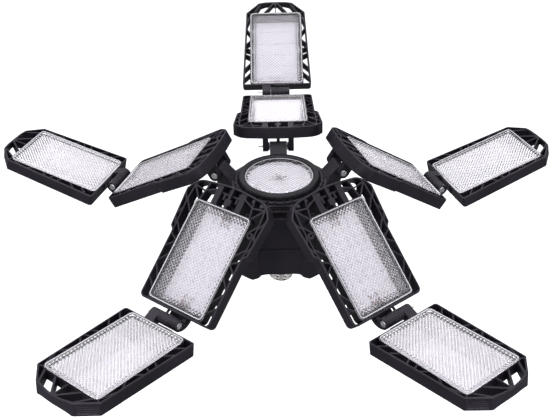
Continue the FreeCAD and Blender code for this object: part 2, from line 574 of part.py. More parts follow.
for k in range(5):
    a = radians(18 + 72 * k)
    c = V(BOSS_R * cos(a), BOSS_R * sin(a), 0)
    cposts.append(cyl(5.0, TOP + 84.0, c + V(0, 0, -84.0), V(0, 0, 1)))
    choles.append(cyl(1.5, 30, c + V(0, 0, -85), V(0, 0, 1)))
    choles.append(cyl(3.4, 85 - 64.1, c + V(0, 0, -85), V(0, 0, 1)))
CAP_Z = -Z_LENS          # middle of the lamp cap's collar
neck2 = cyl(16.4, -81.6 - (CAP_Z + 2.4), V(0, 0, CAP_Z + 2.4), V(0, 0, 1))
taper = Part.makeCone(16.4, 24.0, 10.0, V(0, 0, -92.0), V(0, 0, 1))
cover = cover.multiFuse(cposts + [neck2, taper])
cover = cover.cut(cyl(11.4, 26.0, V(0, 0, CAP_Z + 1.0), V(0, 0, 1)))
for k in range(5):
    # shallow arch in the skirt's edge at each flank
    half = [(12.0, ARCH_Z), (15.5, ARCH_Z - 0.3), (18.5, ARCH_Z - 0.9), (21.5, ARCH_Z - 1.9), (24.5, ARCH_Z - 2.9), (27.5, ARCH_Z - 3.5),
            (30.5, ARCH_Z - 3.8), (34.0, BASE_Z - 0.4)]
    p = [V(FLANK_R - 14, y, z) for y, z in [(-y, z) for y, z in half[::-1]] + half + [(34.0, BASE_Z - 5), (-34.0, BASE_Z - 5)]]
    arch = Part.Face(Part.makePolygon(p + [p[0]])).extrude(V(26, 0, 0))
    arch.rotate(V(0, 0, 0), V(0, 0, 1), 54 + 72 * k)
    choles.append(arch)
    # vent slots in the floor
    for j in range(-3, 4):
        s = slab(27.5, 38.5, j * 4.2 - 1.0, j * 4.2 + 1.0, -86, -80)
        s.rotate(V(0, 0, 0), V(0, 0, 1), 54 + 72 * k)
        choles.append(s)
for h in choles:
    cover = cover.cut(h)
DRV = [(-20, -17), (20, -17), (-20, 17), (20, 17)]
for x, y in DRV:
    cover = cover.fuse(cyl(2.6, 8.6, V(x, y, -82.0), V(0, 0, 1)))
save("rear_cover", one(cover))

# --- bezel, centre lens, centre board ----------------------------------------------------
bezel = rev([(36.15, -1.55), (36.15, -0.15), (34.0, -0.15), (34.0, 0.75), (34.7, 1.5), (36.4, 1.9), (38.2, 1.9),
             (39.6, 1.5), (40.8, 0.3), (41.6, -1.3), (41.8, -2.85), (41.0, -2.85), (41.0, -1.55)])
# grip notches in line with the gaps between the drum's blocks
notches = []
for k in range(35):
    g = slab(40.2, 43.0, -0.9, 0.9, -4.0, -0.2)
    g.rotate(V(0, 0, 0), V(0, 0, 1), 54 + 72 / 7.0 * (k + 0.5))
    notches.append(g)
save("hub_bezel", one(bezel.cut(Part.makeCompound(notches))))
hl = rev([(0, -1.9), (0, 0.3), (33.5, 0.3), (33.8, 0.0), (33.8, -0.3), (35.7, -0.3), (35.7, -1.85), (33.2, -1.85),
          (33.2, -5.6), (31.6, -5.6), (31.6, -1.9)])
save("hub_lens", one(hl))
hb = cyl(32.8, 1.6, V(0, 0, DECK_T), V(0, 0, 1))
hh = [cyl(1.6, 4, V(27.6 * cos(radians(a)), 27.6 * sin(radians(a)), DECK_T - 1), V(0, 0, 1)) for a in (90, 210, 330)]
hb = hb.cut(Part.makeCompound(hh)).cut(cyl(2.4, 4, V(0, 0, DECK_T - 1), V(0, 0, 1)))
chips = []
for n, rad in ((6, 10.5), (12, 20.5)):
    for k in range(n):
        a = 360.0 * k / n + 15
        c = slab(rad - 1.4, rad + 1.4, -1.75, 1.75, DECK_T + 1.6, DECK_T + 2.3)
        c.rotate(V(0, 0, 0), V(0, 0, 1), a)
        chips.append(c)
save("hub_led_board", one(fuse([hb] + chips)))
bs = []
for a in (90, 210, 330):
    c = V(27.6 * cos(radians(a)), 27.6 * sin(radians(a)), DECK_T + 1.6)
    s = cyl(2.5, 1.2, c, V(0, 0, 1)).fuse(cyl(1.3, 1.62, c - V(0, 0, 1.6), V(0, 0, 1)))
    x = Part.makeBox(3.0, 0.6, 1.0, V(-1.5, -0.3, 0.6)).fuse(Part.makeBox(0.6, 3.0, 1.0, V(-0.3, -1.5, 0.6)))
    x.translate(c)
    bs.append(one(s.cut(x)))
save("led_board_screws", Part.makeCompound(bs))

# --- driver ------------------------------------------------------------------------------
drv = slab(-25, 25, -21.5, 21.5, -73.4, -71.8, 2.0)
save("driver_board", one(drv))
coil = slab(-9, 9, -8, 8, -71.8, -70.6, 1.0).fuse(slab(-7.5, 7.5, -6.5, 6.5, -70.8, -59.5, 3.0)).fuse(
    slab(-9, 9, -8, 8, -59.6, -58.2, 1.0))
save("driver_transformer", one(coil))
caps = []
for x, y, r, h in ((16.5, -9.5, 5.0, 16.0), (16.5, 8.5, 5.0, 16.0), (-16.5, 9.0, 4.0, 11.0)):
    c = cyl(r, h, V(x, y, -71.8), V(0, 0, 1))
    e = [e for e in c.Edges if len(e.Vertexes) == 1 and abs(e.Vertexes[0].Z - (h - 71.8)) < 1e-6]
    caps.append(one(c.makeFillet(0.7, e)))
save("driver_capacitors", Part.makeCompound(caps))
rect = slab(-21.5, -11.5, -13.0, -6.0, -71.8, -68.6, 0.5)
save("driver_rectifier", one(rect))

# --- lamp cap ------------------------------------------------------------------------------
# plain collar, rounded thread ridges, rolled end round the insulator
prof = [(CAP_R - 0.5, CAP_Z + 2.0), (CAP_R, CAP_Z + 1.6), (CAP_R, CAP_Z - 2.4)]
z = CAP_Z - 2.4
for k in range(5):
    for j in range(1, 7):
        ph = j / 6.0
        prof.append((CAP_R - 0.62 * (1 - cos(2 * pi * ph)), z - THREAD_P * ph))
    z -= THREAD_P
prof += [(12.2, z - 0.9), (9.0, z - 2.6), (7.6, z - 3.2), (7.2, z - 2.6), (8.6, z - 1.9), (11.3, z - 0.3), (11.3, CAP_Z + 2.0)]
save("screw_shell", one(rev(prof)))
zi = z - 2.6
save("base_insulator", one(rev([(0, zi + 2.4), (6.2, zi + 2.4), (6.9, zi + 0.6), (6.9, zi - 0.9), (4.6, zi - 3.4), (3.6, zi - 3.4),
                                (3.6, zi - 2.4), (0, zi - 2.4)])))
save("tip_contact", one(rev([(0, zi - 2.4), (3.5, zi - 2.4), (3.5, zi - 3.4), (4.4, zi - 3.4), (4.4, zi - 4.2), (3.2, zi - 5.2), (0, zi - 5.6)])))


def wire_tube(pts, bend, r):
    """Round wire along straight runs joined by tangent arcs."""
    edges, cur = [], V(*pts[0])
    for i in range(1, len(pts) - 1):
        p, q, s = V(*pts[i - 1]), V(*pts[i]), V(*pts[i + 1])
        a, b = (p - q), (s - q)
        a.normalize()
        b.normalize()
        ang = a.getAngle(b)
        t = bend / tan(ang / 2)
        t0, t1 = q + a * t, q + b * t
        m = a + b
        m.normalize()
        mid = q + m * (bend / sin(ang / 2) - bend)
        edges.append(Part.makeLine(cur, t0))
        edges.append(Part.Arc(t0, mid, t1).toShape())
        cur = t1
    edges.append(Part.makeLine(cur, V(*pts[-1])))
    w = Part.Wire(edges)
    d = V(*pts[1]) - V(*pts[0])
    prf = Part.Wire(Part.Circle(V(*pts[0]), d, r).toShape())
    t = w.makePipeShell([prf], True, False)
    print("   wire length %.1f volume ratio %.3f" % (w.Length, t.Volume / (w.Length * pi * r * r)))
    return t


save("live_lead", one(wire_tube([(-4, -3, -73.5), (-4, -3, -84.0), (0, 0, -100.0), (0, 0, zi + 2.6)], 4.0, 0.9)))
save("neutral_lead", one(wire_tube([(6, 4, -73.5), (6, 4, -84.0), (9.9, 0, -96.0), (9.9, 0, CAP_Z - 1.0)], 4.0, 0.9)))
print("tip z", zi - 5.6 + Z_LENS)
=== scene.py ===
import json
from math import sin, cos, radians, pi, hypot

import bpy
import bmesh
from mathutils import Matrix, Vector


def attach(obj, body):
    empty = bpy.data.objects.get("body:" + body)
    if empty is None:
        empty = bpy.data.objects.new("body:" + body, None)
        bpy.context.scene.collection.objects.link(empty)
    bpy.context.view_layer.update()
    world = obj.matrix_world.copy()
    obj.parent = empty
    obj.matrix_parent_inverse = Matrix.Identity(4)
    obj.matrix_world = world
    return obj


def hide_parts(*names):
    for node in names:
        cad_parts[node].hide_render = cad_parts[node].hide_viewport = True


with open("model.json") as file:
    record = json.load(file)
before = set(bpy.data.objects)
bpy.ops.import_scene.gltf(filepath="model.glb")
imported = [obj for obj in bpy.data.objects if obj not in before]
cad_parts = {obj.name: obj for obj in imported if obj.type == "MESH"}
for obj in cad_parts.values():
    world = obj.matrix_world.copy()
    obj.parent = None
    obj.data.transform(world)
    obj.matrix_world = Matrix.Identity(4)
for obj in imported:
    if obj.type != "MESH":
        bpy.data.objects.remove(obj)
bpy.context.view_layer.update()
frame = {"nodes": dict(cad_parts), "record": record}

scene = bpy.context.scene
MM = 0.001
Z_LENS = 104.8

# ---------------------------------------------------------------- camera
U = 0.00102


def camera():
    D, f = 731.3 * U, 749.86
    az, el, t, y, r = 0.0, radians(31.58), radians(-2.56), radians(-0.36), radians(-1.25)
    back = Vector((sin(az) * cos(el), -cos(az) * cos(el), sin(el)))
    C = back * D + Vector((0, 0, 0.1048))
    fwd = -back
    right = fwd.cross(Vector((0, 0, 1))).normalized()
    up = right.cross(fwd)
    f2 = (fwd * cos(t) * cos(y) + right * sin(y) * cos(t) + up * sin(t)).normalized()
    r2 = f2.cross(up).normalized()
    u2 = r2.cross(f2)
    r3 = r2 * cos(r) + u2 * sin(r)
    u3 = -r2 * sin(r) + u2 * cos(r)
    cam = bpy.data.cameras.new("camera")
    ob = bpy.data.objects.new("camera", cam)
    scene.collection.objects.link(ob)
    cam.sensor_width = 36.0
    cam.lens = f * 36.0 / 550.0
    cam.clip_start, cam.clip_end = 0.02, 40
    m = Matrix((r3, u3, -f2)).transposed().to_4x4()
    m.translation = C
    ob.matrix_world = m
    scene.camera = ob


camera()

# ---------------------------------------------------------------- node helper


class Mat:
    """A Principled material and short calls that add nodes to it."""

    def __init__(self, name, **sockets):
        self.m = bpy.data.materials.new(name)
        self.m.use_nodes = True
        self.t = self.m.node_tree
        self.b = self.t.nodes["Principled BSDF"]
        for k, v in sockets.items():
            self.put(self.b, k.replace("_", " "), v)
        self.co = self.add("ShaderNodeTexCoord").outputs["Object"]

    def put(self, node, key, v):
        s = node.inputs[key]
        if isinstance(v, bpy.types.NodeSocket):
            self.t.links.new(v, s)
        elif isinstance(v, tuple) and len(v) == 3 and s.type == "RGBA":
            s.default_value = (*v, 1.0)
        else:
            s.default_value = v

    def add(self, kind, ins=None, **props):
        n = self.t.nodes.new(kind)
        for k, v in props.items():
            setattr(n, k, v)
        for k, v in (ins or {}).items():
            self.put(n, k, v)
        return n

    def noise(self, scale, detail=2.0, rough=0.5, distort=0.0, co=None):
        return self.add("ShaderNodeTexNoise", {"Vector": co or self.co, "Scale": scale, "Detail": detail,
                                               "Roughness": rough, "Distortion": distort}).outputs[0]

    def math(self, op, a, b=0.0, clamp=False):
        return self.add("ShaderNodeMath", {0: a, 1: b}, operation=op, use_clamp=clamp).outputs[0]

    def span(self, v, a, b, c, d):
        return self.add("ShaderNodeMapRange", {0: v, 1: a, 2: b, 3: c, 4: d}).outputs[0]

    def mix(self, f, a, b):
        n = self.t.nodes.new("ShaderNodeMix")
        n.data_type = "RGBA"
        self.put(n, 0, f)
        self.put(n, 6, a)
        self.put(n, 7, b)
        return n.outputs[2]

    def scaled(self, x, y, z):
        return self.add("ShaderNodeMapping", {"Vector": self.co, "Scale": (x, y, z)}).outputs[0]

    def edges(self, radius, samples=4):
        """Rounded normal at edges, and a mask that is 1 on an edge and 0 on a flat."""
        bev = self.add("ShaderNodeBevel", {"Radius": radius}, samples=samples).outputs[0]
        geo = self.add("ShaderNodeNewGeometry").outputs["Normal"]
        dot = self.add("ShaderNodeVectorMath", {0: bev, 1: geo}, operation="DOT_PRODUCT").outputs["Value"]
        return bev, self.span(dot, 0.995, 0.80, 0.0, 1.0)

    def bump(self, height, strength, dist, normal=None):
        n = self.add("ShaderNodeBump", {"Height": height, "Strength": strength, "Distance": dist})
        if normal is not None:
            self.put(n, "Normal", normal)
        self.put(self.b, "Normal", n.outputs[0])


def coated(name, dark, light, edge, rough, spec, grain, grain_h, edge_highlight_amount):
    """Powder-coated or moulded black: broad tone changes, fine grain, and a painted highlight along the edges, which
    are also made smoother.
    """
    m = Mat(name, Specular_IOR_Level=spec)
    broad = m.noise(26, 4, 0.55)
    fine = m.noise(grain, 2, 0.6)
    patch_noise = m.noise(210, 5, 0.7, 0.6)
    bev, mask = m.edges(0.00055)
    edge_highlight_and_gloss = m.math("MULTIPLY", mask, m.span(patch_noise, 0.35, 0.62, 0.25, 1.0))
    tone = m.mix(m.span(broad, 0.35, 0.65, 0.0, 1.0), dark, light)
    # painted highlight: the edges are mixed towards the light edge colour, in patches
    tone = m.mix(m.math("MULTIPLY", edge_highlight_and_gloss, edge_highlight_amount), tone, edge)
    m.put(m.b, "Base Color", tone)
    r = m.span(fine, 0.3, 0.7, rough - 0.07, rough + 0.07)
    r = m.math("SUBTRACT", r, m.math("MULTIPLY", edge_highlight_and_gloss, 0.10))
    r = m.math("ADD", r, m.span(patch_noise, 0.3, 0.7, -0.03, 0.03), clamp=True)
    m.put(m.b, "Roughness", r)
    m.bump(fine, 0.35, grain_h, bev)
    return m.m


def frame_paint():
    # the third colour is a painted highlight along the edges, and 0.62 sets how strongly it is painted
    return coated("frame_paint", (0.0062, 0.0050, 0.0088), (0.0128, 0.0105, 0.0168), (0.110, 0.098, 0.122),
                  0.45, 0.24, 1500, 0.00006, 0.62)


def housing_paint():
    # the third colour is a painted highlight along the edges, and 0.50 sets how strongly it is painted
    return coated("housing_paint", (0.0088, 0.0074, 0.0112), (0.0176, 0.0153, 0.0212), (0.100, 0.092, 0.108),
                  0.46, 0.22, 1300, 0.00008, 0.50)


def bezel_gloss():
    m = Mat("bezel_gloss", Specular_IOR_Level=0.17)
    sep = m.add("ShaderNodeSeparateXYZ", {0: m.co})
    rad = m.math("SQRT", m.math("ADD", m.math("MULTIPLY", sep.outputs[0], sep.outputs[0]),
                                m.math("MULTIPLY", sep.outputs[1], sep.outputs[1])))
    turned = m.add("ShaderNodeTexNoise", {"Scale": 3800.0, "Detail": 2.0, "W": rad}, noise_dimensions="1D")
    lines = turned.outputs[0]
    broad = m.noise(40, 3)
    bev, mask = m.edges(0.0004)
    tone = m.mix(m.span(broad, 0.35, 0.65, 0.0, 1.0), (0.0045, 0.0040, 0.0058), (0.0098, 0.0089, 0.0118))
    # painted highlight: the edges are mixed half way towards a light grey
    tone = m.mix(m.math("MULTIPLY", mask, 0.5), tone, (0.10, 0.094, 0.106))
    m.put(m.b, "Base Color", tone)
    m.put(m.b, "Roughness", m.span(m.math("ADD", lines, m.noise(300, 3)), 0.7, 1.3, 0.20, 0.34))
    m.bump(lines, 0.15, 0.00003, bev)
    return m.m


def clear_lens():
    m = Mat("clear_lens", IOR=1.49, Transmission_Weight=1.0,
            Specular_IOR_Level=0.5)
    smudge = m.noise(60, 4, 0.6, 0.4)
    fine = m.noise(2600, 2)
    # painted shade: by pointiness the lens is tinted darker in the valleys between the prisms and lighter on their
    # ridges
    ridge_light_valley_shade = m.span(m.add("ShaderNodeNewGeometry").outputs["Pointiness"], 0.44, 0.56, 0.0, 1.0)
    m.put(m.b, "Base Color", m.mix(ridge_light_valley_shade, (0.885, 0.872, 0.905), (0.985, 0.972, 1.0)))
    m.put(m.b, "Roughness", m.span(m.math("ADD", smudge, m.math("MULTIPLY", fine, 0.3)), 0.4, 0.9, 0.012, 0.055))
    m.bump(m.noise(420, 2), 0.08, 0.00004)
    return m.m


def lens_valley():
    """The narrow strips between the prisms, where the mould's edges left the plastic dull."""
    m = Mat("lens_valley", IOR=1.49, Transmission_Weight=0.8)
    m.put(m.b, "Base Color", m.mix(m.noise(90, 3), (0.62, 0.61, 0.65), (0.78, 0.77, 0.81)))
    m.put(m.b, "Roughness", m.span(m.noise(1200, 2), 0.3, 0.7, 0.18, 0.34))
    m.bump(m.noise(2100), 0.12, 0.00003)
    return m.m


def lens_rim():
    """The lens's bead and flange, left frosted by the mould."""
    m = Mat("lens_rim", IOR=1.49, Transmission_Weight=0.35)
    m.put(m.b, "Base Color", m.mix(m.noise(220, 4), (0.62, 0.61, 0.66), (0.78, 0.77, 0.82)))
    m.put(m.b, "Roughness", m.span(m.noise(900, 3), 0.3, 0.7, 0.16, 0.34))
    m.bump(m.noise(1600), 0.15, 0.00003)
    return m.m


def board_white():
    m = Mat("board_white", Specular_IOR_Level=0.4)
    cells = m.add("ShaderNodeTexVoronoi", {"Vector": m.co, "Scale": 160.0}, feature="DISTANCE_TO_EDGE").outputs[0]
    trace = m.span(cells, 0.02, 0.05, 0.0, 1.0)
    grime = m.noise(90, 4, 0.6)
    tone = m.mix(m.span(grime, 0.35, 0.7, 0.0, 1.0), (0.955, 0.940, 0.975), (0.900, 0.890, 0.930))
    tone = m.mix(trace, (0.87, 0.86, 0.90), tone)
    m.put(m.b, "Base Color", tone)
    m.put(m.b, "Roughness", m.span(m.noise(900), 0.3, 0.7, 0.32, 0.5))
    m.bump(m.math("ADD", trace, m.math("MULTIPLY", m.noise(2200), 0.3)), 0.2, 0.00004)
    return m.m


def chip_body():
    m = Mat("chip_body", Specular_IOR_Level=0.4)
    m.put(m.b, "Base Color", m.mix(m.noise(700, 3), (0.88, 0.88, 0.87), (0.80, 0.80, 0.80)))
    m.put(m.b, "Roughness", m.span(m.noise(1800), 0.3, 0.7, 0.35, 0.5))
    m.bump(m.noise(3000), 0.2, 0.00003)
    return m.m


def phosphor():
    m = Mat("phosphor", Specular_IOR_Level=0.5)
    m.put(m.b, "Base Color", m.mix(m.noise(1500, 4), (0.80, 0.78, 0.70), (0.88, 0.86, 0.80)))
    m.put(m.b, "Roughness", m.span(m.noise(1200), 0.3, 0.7, 0.18, 0.34))
    m.bump(m.noise(2600), 0.2, 0.00003)
    return m.m


def solder():
    m = Mat("solder", Metallic=1.0)
    m.put(m.b, "Base Color", m.mix(m.noise(1400, 3), (0.62, 0.62, 0.63), (0.46, 0.45, 0.46)))
    m.put(m.b, "Roughness", m.span(m.noise(2100), 0.3, 0.7, 0.22, 0.45))
    m.bump(m.noise(1700), 0.3, 0.00005)
    return m.m


def metal(name, a, b, rough, sx, sy, sz, bevel=0.0003, edge=None):
    """Metal with fine streaks along one direction, broad stain, and a painted highlight that makes the edges lighter.
    """
    m = Mat(name, Metallic=1.0)
    streak = m.noise(60, 3, 0.6, 0.0, m.scaled(sx, sy, sz))
    stain = m.noise(140, 4, 0.6)
    bev, mask = m.edges(bevel)
    tone = m.mix(m.span(stain, 0.3, 0.7, 0.0, 1.0), a, b)
    # painted highlight: the edges are mixed half way towards a lighter colour
    tone = m.mix(m.math("MULTIPLY", mask, 0.5), tone, edge or tuple(min(1.0, c * 1.25) for c in a))
    m.put(m.b, "Base Color", tone)
    m.put(m.b, "Roughness", m.math("ADD", m.span(streak, 0.3, 0.7, rough - 0.07, rough + 0.08),
                                   m.span(stain, 0.3, 0.7, -0.03, 0.05), clamp=True))
    m.bump(streak, 0.22, 0.00003, bev)
    return m.m


def plastic(name, a, b, rough, scale=600.0, metallic=0.0, spec=0.4):
    m = Mat(name, Specular_IOR_Level=spec, Metallic=metallic)
    bev, mask = m.edges(0.0003)
    tone = m.mix(m.span(m.noise(scale * 0.2, 4, 0.6), 0.3, 0.7, 0.0, 1.0), a, b)
    # painted highlight: the edges are mixed towards a lighter colour
    tone = m.mix(m.math("MULTIPLY", mask, 0.4), tone, tuple(min(1.0, c * 1.5 + 0.03) for c in a))
    m.put(m.b, "Base Color", tone)
    m.put(m.b, "Roughness", m.span(m.noise(scale), 0.3, 0.7, rough - 0.06, rough + 0.08))
    m.bump(m.noise(scale * 2), 0.25, 0.00004, bev)
    return m.m


def driver_green():
    m = Mat("driver_green", Specular_IOR_Level=0.5)
    cells = m.add("ShaderNodeTexVoronoi", {"Vector": m.co, "Scale": 240.0}, feature="DISTANCE_TO_EDGE").outputs[0]
    trace = m.span(cells, 0.06, 0.10, 0.0, 1.0)
    m.put(m.b, "Base Color", m.mix(trace, (0.10, 0.34, 0.12), (0.035, 0.16, 0.06)))
    m.put(m.b, "Roughness", m.span(m.noise(900), 0.3, 0.7, 0.26, 0.42))
    m.bump(trace, 0.3, 0.00005)
    return m.m


def wound():
    """Tape wound round the transformer: fine overlapping bands."""
    m = Mat("wound", Specular_IOR_Level=0.45)
    bands = m.add("ShaderNodeTexWave", {"Vector": m.co, "Scale": 160.0, "Distortion": 1.2, "Detail": 2.0},
                  wave_type="BANDS", bands_direction="Z").outputs[0]
    m.put(m.b, "Base Color", m.mix(bands, (0.62, 0.46, 0.07), (0.78, 0.62, 0.13)))
    m.put(m.b, "Roughness", m.span(m.noise(700), 0.3, 0.7, 0.30, 0.48))
    m.bump(bands, 0.3, 0.00008)
    return m.m


MATS = {
    "frame": frame_paint(), "housing": housing_paint(), "bezel": bezel_gloss(), "lens": clear_lens(),
    "led_board": board_white(),
    "steel": metal("zinc_steel", (0.78, 0.78, 0.80), (0.58, 0.58, 0.60), 0.26, 1, 1, 9),
    "driver_board": driver_green(), "transformer": wound(),
    "capacitor": plastic("capacitor_sleeve", (0.020, 0.026, 0.060), (0.034, 0.042, 0.085), 0.30),
    "chip": plastic("chip_black", (0.018, 0.018, 0.018), (0.030, 0.030, 0.031), 0.52),
    "cap_shell": metal("nickel_cap", (0.66, 0.65, 0.63), (0.57, 0.56, 0.55), 0.22, 1, 1, 14),
    "insulator": plastic("glass_black", (0.012, 0.012, 0.016), (0.022, 0.022, 0.027), 0.18, 400.0, 0.0, 0.6),
    "contact": metal("brass_tip", (0.74, 0.60, 0.34), (0.56, 0.44, 0.25), 0.30, 1, 1, 5),
    "live_lead": plastic("lead_dark", (0.018, 0.018, 0.020), (0.032, 0.032, 0.034), 0.42),
    "neutral_lead": plastic("lead_pale", (0.78, 0.78, 0.76), (0.68, 0.68, 0.66), 0.42),
}
CHIP, PHOSPHOR, SOLDER, RIM, VALLEY = chip_body(), phosphor(), solder(), lens_rim(), lens_valley()
RED = plastic("lead_red", (0.26, 0.13, 0.13), (0.17, 0.09, 0.09), 0.4)
BLACK = MATS["live_lead"]

for s in frame["record"]["subparts"]:
    o = frame["nodes"][s["node"]]
    o.data.materials.clear()
    o.data.materials.append(MATS[s["material_slot"]])

# ---------------------------------------------------------------- mesh helpers


def keep(bm, name, mats, place, body, nodes, sharp=None):
    """Turns a bmesh, in millimetres in its own frame, into a piece that rides on body."""
    bmesh.ops.recalc_face_normals(bm, faces=bm.faces)
    me = bpy.data.meshes.new(name)
    bm.to_mesh(me)
    bm.free()
    me.transform(place)
    for m in mats:
        me.materials.append(m)
    if sharp is not None:
        me.polygons.foreach_set("use_smooth", [True] * len(me.polygons))
        me.set_sharp_from_angle(angle=radians(sharp))
    ob = bpy.data.objects.new(name, me)
    scene.collection.objects.link(ob)
    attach(ob, body)
    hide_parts(*nodes)
    return ob


def ring(bm, u0, u1, v, r, w, n=6):
    """A rounded rectangle's corners' points, anticlockwise seen from +w."""
    out = []
    for cu, cv, a0 in ((u1 - r, v - r, 0), (u0 + r, v - r, 90), (u0 + r, -v + r, 180), (u1 - r, -v + r, 270)):
        for i in range(n + 1):
            a = radians(a0 + 90.0 * i / n)
            out.append(bm.verts.new((cu + r * cos(a), cv + r * sin(a), w)))
    return out


def circle(bm, r, w, n=96):
    return [bm.verts.new((r * cos(2 * pi * i / n), r * sin(2 * pi * i / n), w)) for i in range(n)]


def bridge(bm, a, b):
    n = len(a)
    for i in range(n):
        bm.faces.new((a[i], a[(i + 1) % n], b[(i + 1) % n], b[i]))


def fill_between(bm, outer, inner):
    """Triangles in the flat strip between two closed loops of any number of points."""
    edges = []
    for loop in (outer, inner):
        for i in range(len(loop)):
            a, b = loop[i], loop[(i + 1) % len(loop)]
            edges.append(bm.edges.get((a, b)) or bm.edges.new((a, b)))
    bmesh.ops.triangle_fill(bm, use_beauty=True, use_dissolve=False, edges=edges)


def prism_field(bm, nx, ny, px, py, cx, cy, top, knee, low, border, share=0.72, inside=None, snap=None):
    """Diamond prisms on a half-pitch grid: an apex at `top`, a gentle upper part down to `knee`, then a steep foot to
    the valley at `low`. Returns the closed border loop."""
    g = {}
    for i in range(nx + 1):
        for j in range(ny + 1):
            g[i, j] = ((i - nx / 2) * px + cx, (j - ny / 2) * py + cy, (i + j) % 2 == 0)
    cells = [(i, j) for i in range(nx) for j in range(ny)
             if inside is None or all(inside(*g[a, b][:2]) for a, b in ((i, j), (i + 1, j), (i, j + 1), (i + 1, j + 1)))]
    used = set(cells)
    edge = {}
    for i, j in cells:
        for (da, db), (a, b) in (((0, -1), ((i, j), (i + 1, j))), ((1, 0), ((i + 1, j), (i + 1, j + 1))),
                                 ((0, 1), ((i + 1, j + 1), (i, j + 1))), ((-1, 0), ((i, j + 1), (i, j)))):
            if (i + da, j + db) not in used:
                edge[a] = b
    rim = set(edge) | set(edge.values())
    vs, mids = {}, {}
    for i, j in cells:
        for k in ((i, j), (i + 1, j), (i, j + 1), (i + 1, j + 1)):
            if k not in vs:
                x, y, apex = g[k]
                w = border if k in rim else (top if apex else low)
                if k in rim and snap:
                    x, y = snap(x, y)
                vs[k] = bm.verts.new((x, y, w))

    def mid(a, v):
        if (a, v) not in mids:
            c = vs[a].co.lerp(vs[v].co, share)
            if a not in rim and v not in rim:
                c.z = knee
            mids[a, v] = bm.verts.new(c)
        return mids[a, v]

    def facet(a, v1, v2):
        """One side of a prism, from its apex a to the valley between v1 and v2."""
        if a in rim:
            bm.faces.new((vs[a], vs[v1], vs[v2]))
            return
        m1, m2 = mid(a, v1), mid(a, v2)
        bm.faces.new((vs[a], m1, m2))
        bm.faces.new((m1, vs[v1], vs[v2], m2)).material_index = 2

    for i, j in cells:
        a, b, c, d = (i, j), (i + 1, j), (i + 1, j + 1), (i, j + 1)
        if (i + j) % 2 == 0:      # a and c are apexes
            facet(a, b, d)
            facet(c, d, b)
        else:                     # b and d are apexes
            facet(b, c, a)
            facet(d, a, c)
    start = next(iter(edge))
    loop, k = [vs[start]], edge[start]
    while k != start:
        loop.append(vs[k])
        k = edge[k]
    return loop


# ---------------------------------------------------------------- panel lenses and boards


def panel_lens(name, place, body, node):
    """Panel lens: prisms within a frosted bead, a clear flange round them, and snap tabs underneath."""
    bm = bmesh.new()
    field = prism_field(bm, 52, 32, 96.6 / 52, 59.6 / 32, 50.25, 0.0, 0.44, -0.77, -0.98, 0.34, 0.86)
    step = ring(bm, 1.62, 98.88, 30.34, 3.0, 0.34)
    lip = ring(bm, 1.42, 99.08, 30.54, 3.1, 0.44)
    crest = ring(bm, 1.15, 99.35, 30.81, 3.35, 0.50)
    outer = ring(bm, 0.85, 99.65, 31.11, 3.65, 0.50)
    cham = ring(bm, 0.45, 100.05, 31.51, 4.05, 0.50)
    side = ring(bm, 0.0, 100.5, 31.96, 4.5, 0.05)
    under = ring(bm, 0.0, 100.5, 31.96, 4.5, -1.7)
    fill_between(bm, step, field)
    for a, b, frosted in ((step, lip, 1), (lip, crest, 1), (crest, outer, 1), (outer, cham, 0), (cham, side, 0),
                          (side, under, 0)):
        n = len(bm.faces)
        bridge(bm, a, b)
        bm.faces.ensure_lookup_table()
        for f in bm.faces[n:]:
            f.material_index = frosted
    bm.faces.new(under)
    for u in (22.0, 50.25, 78.5):
        for s in (-1, 1):
            box(bm, u - 2.5, u + 2.5, min(s * 28.76, s * 27.96), max(s * 28.76, s * 27.96), -4.3, -1.72, cut=0.15)
    for u0, u1 in ((3.2, 4.0), (96.5, 97.3)):
        for v in (-16.0, 16.0):
            box(bm, u0, u1, v - 2.5, v + 2.5, -4.3, -1.72, cut=0.15)
    return keep(bm, name, [MATS["lens"], RIM, VALLEY], place, body, [node])


def box(bm, x0, x1, y0, y1, z0, z1, mat=0, cut=0.0):
    """A small block with its upper edges cut back."""
    low = [bm.verts.new(p) for p in ((x0, y0, z0), (x1, y0, z0), (x1, y1, z0), (x0, y1, z0))]
    mid = [bm.verts.new(p) for p in ((x0, y0, z1 - cut), (x1, y0, z1 - cut), (x1, y1, z1 - cut), (x0, y1, z1 - cut))]
    top = [bm.verts.new(p) for p in ((x0 + cut, y0 + cut, z1), (x1 - cut, y0 + cut, z1),
                                     (x1 - cut, y1 - cut, z1), (x0 + cut, y1 - cut, z1))]
    faces = [bm.faces.new(low[::-1]), bm.faces.new(top)]
    for a, b in ((low, mid), (mid, top)):
        for i in range(4):
            faces.append(bm.faces.new((a[i], a[(i + 1) % 4], b[(i + 1) % 4], b[i])))
    for f in faces:
        f.material_index = mat
    return faces


def dome(bm, x, y, z, r, h, mat, n=14, m=4):
    """A low solder dome."""
    loops = []
    for k in range(m):
        a = (pi / 2) * k / m
        loops.append([bm.verts.new((x + r * cos(a) * cos(2 * pi * i / n), y + r * cos(a) * sin(2 * pi * i / n),
                                    z + h * sin(a))) for i in range(n)])
    tip = bm.verts.new((x, y, z + h))
    faces = [bm.faces.new(loops[0][::-1])]
    for a, b in zip(loops, loops[1:]):
        for i in range(n):
            faces.append(bm.faces.new((a[i], a[(i + 1) % n], b[(i + 1) % n], b[i])))
    for i in range(n):
        faces.append(bm.faces.new((loops[-1][i], loops[-1][(i + 1) % n], tip)))
    for f in faces:
        f.material_index = mat
        f.smooth = True


LED_U = (17.0, 34.5, 50.25, 66.0, 83.5)
LED_V = (4.5, 13.5, 22.5)


def chip(bm, x, y, z):
    """One light chip: a white body, the phosphor window in it and its two solder feet."""
    box(bm, x - 1.75, x + 1.75, y - 1.4, y + 1.4, z, z + 0.62, 1, 0.12)
    box(bm, x - 1.35, x + 1.35, y - 1.05, y + 1.05, z + 0.55, z + 0.70, 2, 0.03)
    for s in (-1, 1):
        box(bm, x + s * 1.95 - 0.25, x + s * 1.95 + 0.25, y - 1.0, y + 1.0, z, z + 0.14, 3, 0.05)


